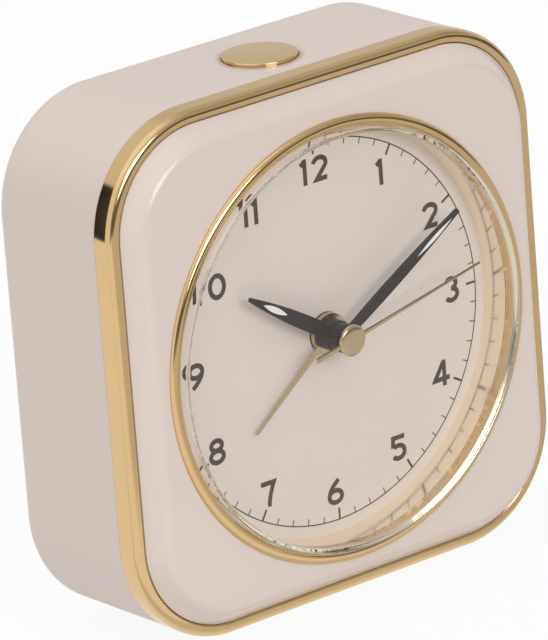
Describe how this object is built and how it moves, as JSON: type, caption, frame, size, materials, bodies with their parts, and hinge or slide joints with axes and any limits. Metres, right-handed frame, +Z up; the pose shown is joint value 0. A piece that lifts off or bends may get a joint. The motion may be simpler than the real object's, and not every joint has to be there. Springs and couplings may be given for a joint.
{
  "type": "desk alarm clock",
  "caption": "Square quartz desk alarm clock with rounded corners, gold-tone trim, numbered dial, glazed front, top snooze button and setting knobs on the back.",
  "frame": {"origin": "on the surface that the feet stand on, under the middle of the clock's width and depth", "axes": "+Z up, the dial faces -Y, +X to the right of a reader who looks at the dial"},
  "size_m": [0.1054, 0.0412, 0.1071],
  "materials": {
    "cream_plastic": "gloss off-white moulding",
    "gold_plating": "mirror gold plating on moulded plastic",
    "clear_lens": "clear polished",
    "dial_print": "satin print, cream ground",
    "black_enamel": "semi-gloss black enamel",
    "white_lume": "matt luminous filling",
    "gold_hand": "polished gold tone",
    "movement_plastic": "black moulding",
    "gear_plastic": "natural acetal",
    "steel": "plated steel",
    "magnet": "bonded magnet",
    "copper": "enamelled copper wire",
    "circuit": "green circuit board",
    "black_plastic": "black resin",
    "crystal_can": "bare metal can",
    "cell_case": null,
    "cover_plastic": "satin off-white moulding",
    "rubber": "pale soft rubber"
  },
  "bodies": {
    "clock_case": {"case_body": "cream_plastic", "front_trim": "gold_plating", "front_panel": "cream_plastic", "dial_bezel": "gold_plating", "lens": "clear_lens", "dial": "dial_print", "chassis_plate": "movement_plastic", "chassis_screws": "steel", "movement_front_plate": "movement_plastic", "movement_middle_plate": "movement_plastic", "movement_housing": "movement_plastic", "movement_screws": "steel", "stator": "steel", "coil_bobbin": "movement_plastic", "coil": "copper", "circuit_board": "circuit", "clock_chip": "black_plastic", "crystal": "crystal_can", "back_cover": "cover_plastic", "cover_screws": "steel", "battery_cell": "cell_case", "positive_contact": "steel", "negative_contact": "steel", "buzzer": "black_plastic", "switch_base": "movement_plastic", "snooze_collar": "gold_plating", "snooze_dome": "rubber", "snooze_board": "circuit", "board_screws": "steel", "feet": "rubber"},
    "alarm_hand_body": {"alarm_wheel": "gear_plastic", "alarm_hand": "gold_hand"},
    "alarm_knob_body": {"alarm_shaft": "steel", "alarm_knob": "cover_plastic"},
    "minute_hand_body": {"cannon_pinion": "gear_plastic", "minute_hand": "black_enamel", "minute_hand_lume": "white_lume"},
    "hour_hand_body": {"hour_wheel": "gear_plastic", "hour_hand": "black_enamel", "hour_hand_lume": "white_lume"},
    "motion_wheel_body": {"motion_wheel": "gear_plastic"},
    "time_knob_body": {"time_shaft": "steel", "time_knob": "cover_plastic"},
    "second_hand_body": {"second_wheel": "gear_plastic", "second_hand": "gold_hand"},
    "third_wheel_body": {"third_wheel": "gear_plastic"},
    "centre_wheel_body": {"centre_wheel": "gear_plastic"},
    "step_wheel_body": {"step_wheel": "gear_plastic"},
    "rotor_body": {"rotor": "magnet"},
    "snooze_button_body": {"snooze_button": "gold_plating"},
    "alarm_switch_body": {"switch_slider": "cover_plastic"},
    "battery_door_body": {"battery_door": "cover_plastic"}
  },
  "joints": [
    {"name": "minute_hand_turn", "type": "hinge", "parent": "clock_case", "child": "minute_hand_body", "pos_m": [0, 0, 0.053], "axis": [0, 1, 0], "continuous": true},
    {"name": "hour_hand_turn", "type": "hinge", "parent": "clock_case", "child": "hour_hand_body", "pos_m": [0, 0, 0.053], "axis": [0, 1, 0], "continuous": true},
    {"name": "motion_wheel_turn", "type": "hinge", "parent": "clock_case", "child": "motion_wheel_body", "pos_m": [0.00413, 0, 0.06427], "axis": [0, 1, 0], "continuous": true},
    {"name": "time_knob_turn", "type": "hinge", "parent": "clock_case", "child": "time_knob_body", "pos_m": [0.0123, 0, 0.05654], "axis": [0, 1, 0], "continuous": true},
    {"name": "second_hand_turn", "type": "hinge", "parent": "clock_case", "child": "second_hand_body", "pos_m": [0, 0, 0.053], "axis": [0, 1, 0], "continuous": true},
    {"name": "third_wheel_turn", "type": "hinge", "parent": "clock_case", "child": "third_wheel_body", "pos_m": [-0.00702, 0, 0.04298], "axis": [0, 1, 0], "continuous": true},
    {"name": "centre_wheel_turn", "type": "hinge", "parent": "clock_case", "child": "centre_wheel_body", "pos_m": [0, 0, 0.053], "axis": [0, 1, 0], "continuous": true},
    {"name": "step_wheel_turn", "type": "hinge", "parent": "clock_case", "child": "step_wheel_body", "pos_m": [0.00643, 0, 0.0476], "axis": [0, 1, 0], "continuous": true},
    {"name": "rotor_turn", "type": "hinge", "parent": "clock_case", "child": "rotor_body", "pos_m": [0.01433, 0, 0.04473], "axis": [0, 1, 0], "continuous": true},
    {"name": "alarm_hand_turn", "type": "hinge", "parent": "clock_case", "child": "alarm_hand_body", "pos_m": [0, 0, 0.053], "axis": [0, 1, 0], "continuous": true},
    {"name": "alarm_knob_turn", "type": "hinge", "parent": "clock_case", "child": "alarm_knob_body", "pos_m": [-0.0123, 0, 0.05654], "axis": [0, 1, 0], "continuous": true},
    {"name": "snooze_press", "type": "slide", "parent": "clock_case", "child": "snooze_button_body", "axis": [0, 0, -1], "range_m": [0, 0.001], "stiffness_N_per_m": 400, "springref_m": -0.002, "deforming": ["snooze_dome"]},
    {"name": "alarm_switch_slide", "type": "slide", "parent": "clock_case", "child": "alarm_switch_body", "axis": [1, 0, 0], "range_m": [0, 0.005]},
    {"name": "battery_door_off", "type": "slide", "parent": "clock_case", "child": "battery_door_body", "axis": [0, 1, 0], "range_m": [0, 0.02]}
  ],
  "couplings": [
    {"joint": "hour_hand_turn", "follows": "minute_hand_turn", "ratio": 0.083333},
    {"joint": "motion_wheel_turn", "follows": "minute_hand_turn", "ratio": -0.33333},
    {"joint": "time_knob_turn", "follows": "minute_hand_turn", "ratio": 1.3333},
    {"joint": "third_wheel_turn", "follows": "second_hand_turn", "ratio": -0.13333},
    {"joint": "centre_wheel_turn", "follows": "second_hand_turn", "ratio": 0.016667},
    {"joint": "step_wheel_turn", "follows": "second_hand_turn", "ratio": -5},
    {"joint": "rotor_turn", "follows": "second_hand_turn", "ratio": 30},
    {"joint": "alarm_knob_turn", "follows": "alarm_hand_turn", "ratio": -3}
  ]
}
